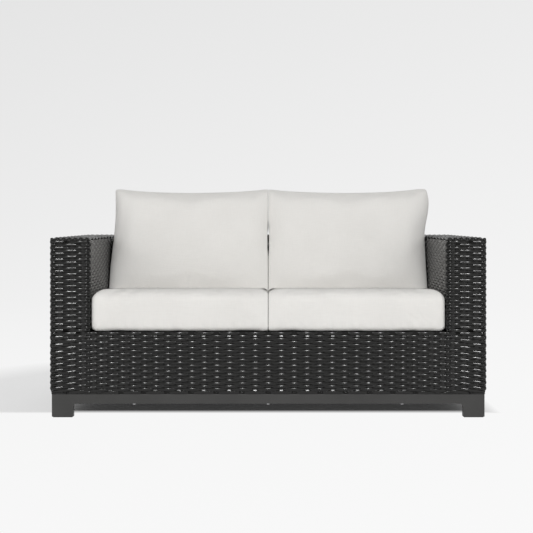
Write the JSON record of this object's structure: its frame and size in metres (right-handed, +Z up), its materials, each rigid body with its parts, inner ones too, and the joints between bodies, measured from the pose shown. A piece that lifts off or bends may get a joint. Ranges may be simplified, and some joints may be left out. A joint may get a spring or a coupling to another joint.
{
  "type": "patio loveseat",
  "caption": "Outdoor loveseat with a boxy dark woven wicker body on a low metal base and loose off-white seat and back cushions with zipped covers.",
  "frame": {"origin": "on the floor, under the middle of the body's width and depth", "axes": "+X to the right of someone who faces the seat, +Y towards the back, +Z up"},
  "size_m": [1.626, 0.864, 0.864],
  "materials": {
    "base_metal": "dark grey powder coat, satin",
    "wicker": "woven resin strand, near-black charcoal, soft sheen",
    "frame_tube": "welded tube with a dark powder coat, hidden",
    "glide": "black moulded plastic",
    "screw": "zinc-plated steel",
    "cushion_cover": "off-white woven outdoor cloth, matte",
    "cushion_filling": "polyester fibre fill",
    "zip_tape": "off-white zip tape and coil",
    "zip_slider": "off-white enamelled slider"
  },
  "bodies": {
    "body": {"base_front_rail": "base_metal", "base_rear_rail": "base_metal", "base_left_rail": "base_metal", "base_right_rail": "base_metal", "front_left_leg": "base_metal", "front_right_leg": "base_metal", "rear_left_leg": "base_metal", "rear_right_leg": "base_metal", "foot_glides": "glide", "base_screws": "screw", "bottom_front_tube": "frame_tube", "bottom_rear_tube": "frame_tube", "bottom_left_tube": "frame_tube", "bottom_right_tube": "frame_tube", "left_arm_front_outer_post": "frame_tube", "left_arm_front_inner_post": "frame_tube", "left_arm_rear_outer_post": "frame_tube", "left_arm_rear_inner_post": "frame_tube", "left_arm_outer_top_tube": "frame_tube", "left_arm_inner_top_tube": "frame_tube", "right_arm_front_outer_post": "frame_tube", "right_arm_front_inner_post": "frame_tube", "right_arm_rear_outer_post": "frame_tube", "right_arm_rear_inner_post": "frame_tube", "right_arm_outer_top_tube": "frame_tube", "right_arm_inner_top_tube": "frame_tube", "seat_front_tube": "frame_tube", "seat_left_tube": "frame_tube", "seat_right_tube": "frame_tube", "seat_rear_tube": "frame_tube", "seat_cross_tube_left": "frame_tube", "seat_cross_tube_centre": "frame_tube", "seat_cross_tube_right": "frame_tube", "back_top_front_tube": "frame_tube", "back_top_rear_tube": "frame_tube", "back_left_post": "frame_tube", "back_right_post": "frame_tube", "back_rear_post": "frame_tube", "left_arm_weave": "wicker", "right_arm_weave": "wicker", "back_weave": "wicker", "front_apron_weave": "wicker", "seat_deck_weave": "wicker"},
    "left_seat_cushion": {"left_seat_cushion_cover": "cushion_cover", "left_seat_cushion_filling": "cushion_filling", "left_seat_cushion_zip": "zip_tape"},
    "left_seat_cushion_zip_slider": {"left_seat_cushion_zip_slider": "zip_slider"},
    "left_back_cushion": {"left_back_cushion_cover": "cushion_cover", "left_back_cushion_filling": "cushion_filling", "left_back_cushion_zip": "zip_tape"},
    "left_back_cushion_zip_slider": {"left_back_cushion_zip_slider": "zip_slider"},
    "right_seat_cushion": {"right_seat_cushion_cover": "cushion_cover", "right_seat_cushion_filling": "cushion_filling", "right_seat_cushion_zip": "zip_tape"},
    "right_seat_cushion_zip_slider": {"right_seat_cushion_zip_slider": "zip_slider"},
    "right_back_cushion": {"right_back_cushion_cover": "cushion_cover", "right_back_cushion_filling": "cushion_filling", "right_back_cushion_zip": "zip_tape"},
    "right_back_cushion_zip_slider": {"right_back_cushion_zip_slider": "zip_slider"}
  },
  "joints": [
    {"name": "left_seat_cushion_lift", "type": "slide", "parent": "body", "child": "left_seat_cushion", "axis": [0, 0, 1], "range_m": [0, 0.4]},
    {"name": "left_back_cushion_lift", "type": "slide", "parent": "left_seat_cushion", "child": "left_back_cushion", "axis": [0, 0, 1], "range_m": [0, 0.25]},
    {"name": "left_seat_cushion_zip_run", "type": "slide", "parent": "left_seat_cushion", "child": "left_seat_cushion_zip_slider", "axis": [1, 0, 0], "range_m": [0, 0.465]},
    {"name": "left_back_cushion_zip_run", "type": "slide", "parent": "left_back_cushion", "child": "left_back_cushion_zip_slider", "axis": [1, 0, 0], "range_m": [0, 0.465]},
    {"name": "right_seat_cushion_lift", "type": "slide", "parent": "body", "child": "right_seat_cushion", "axis": [0, 0, 1], "range_m": [0, 0.4]},
    {"name": "right_back_cushion_lift", "type": "slide", "parent": "right_seat_cushion", "child": "right_back_cushion", "axis": [0, 0, 1], "range_m": [0, 0.25]},
    {"name": "right_seat_cushion_zip_run", "type": "slide", "parent": "right_seat_cushion", "child": "right_seat_cushion_zip_slider", "axis": [1, 0, 0], "range_m": [0, 0.465]},
    {"name": "right_back_cushion_zip_run", "type": "slide", "parent": "right_back_cushion", "child": "right_back_cushion_zip_slider", "axis": [1, 0, 0], "range_m": [0, 0.465]}
  ]
}
